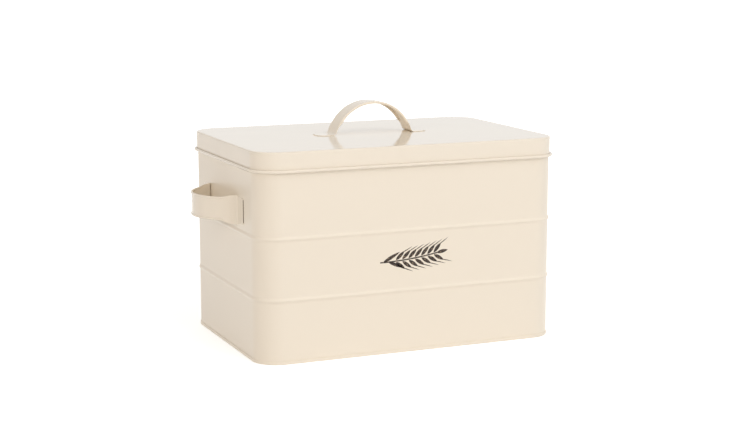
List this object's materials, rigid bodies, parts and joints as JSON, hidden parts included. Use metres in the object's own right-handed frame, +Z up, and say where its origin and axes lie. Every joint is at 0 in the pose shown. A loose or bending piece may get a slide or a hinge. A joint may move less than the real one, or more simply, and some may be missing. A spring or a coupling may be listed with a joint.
{
  "type": "bread box",
  "caption": "Cream painted sheet-steel bread box with rounded corners, raised bands, side strap handles and a lift-off lid with an arched strap handle.",
  "frame": {"origin": "centre of the bin's footprint on the surface it stands on", "axes": "+Z up, the front faces -Y, the width with the side handles runs along X"},
  "size_m": [0.3972, 0.2278, 0.2473],
  "materials": {
    "painted_steel": "gloss",
    "steel_wire": "drawn"
  },
  "bodies": {
    "bin": {"body_wall": "painted_steel", "base_panel": "painted_steel", "rim_wire": "steel_wire", "left_handle_strap": "painted_steel", "left_handle_wires": "steel_wire", "right_handle_strap": "painted_steel", "right_handle_wires": "steel_wire"},
    "lid": {"lid_shell": "painted_steel", "lid_hem_wire": "steel_wire", "lid_handle_strap": "painted_steel"}
  },
  "joints": [
    {"name": "lid_lift", "type": "slide", "parent": "bin", "child": "lid", "axis": [0, 0, 1], "range_m": [0, 0.25]}
  ]
}
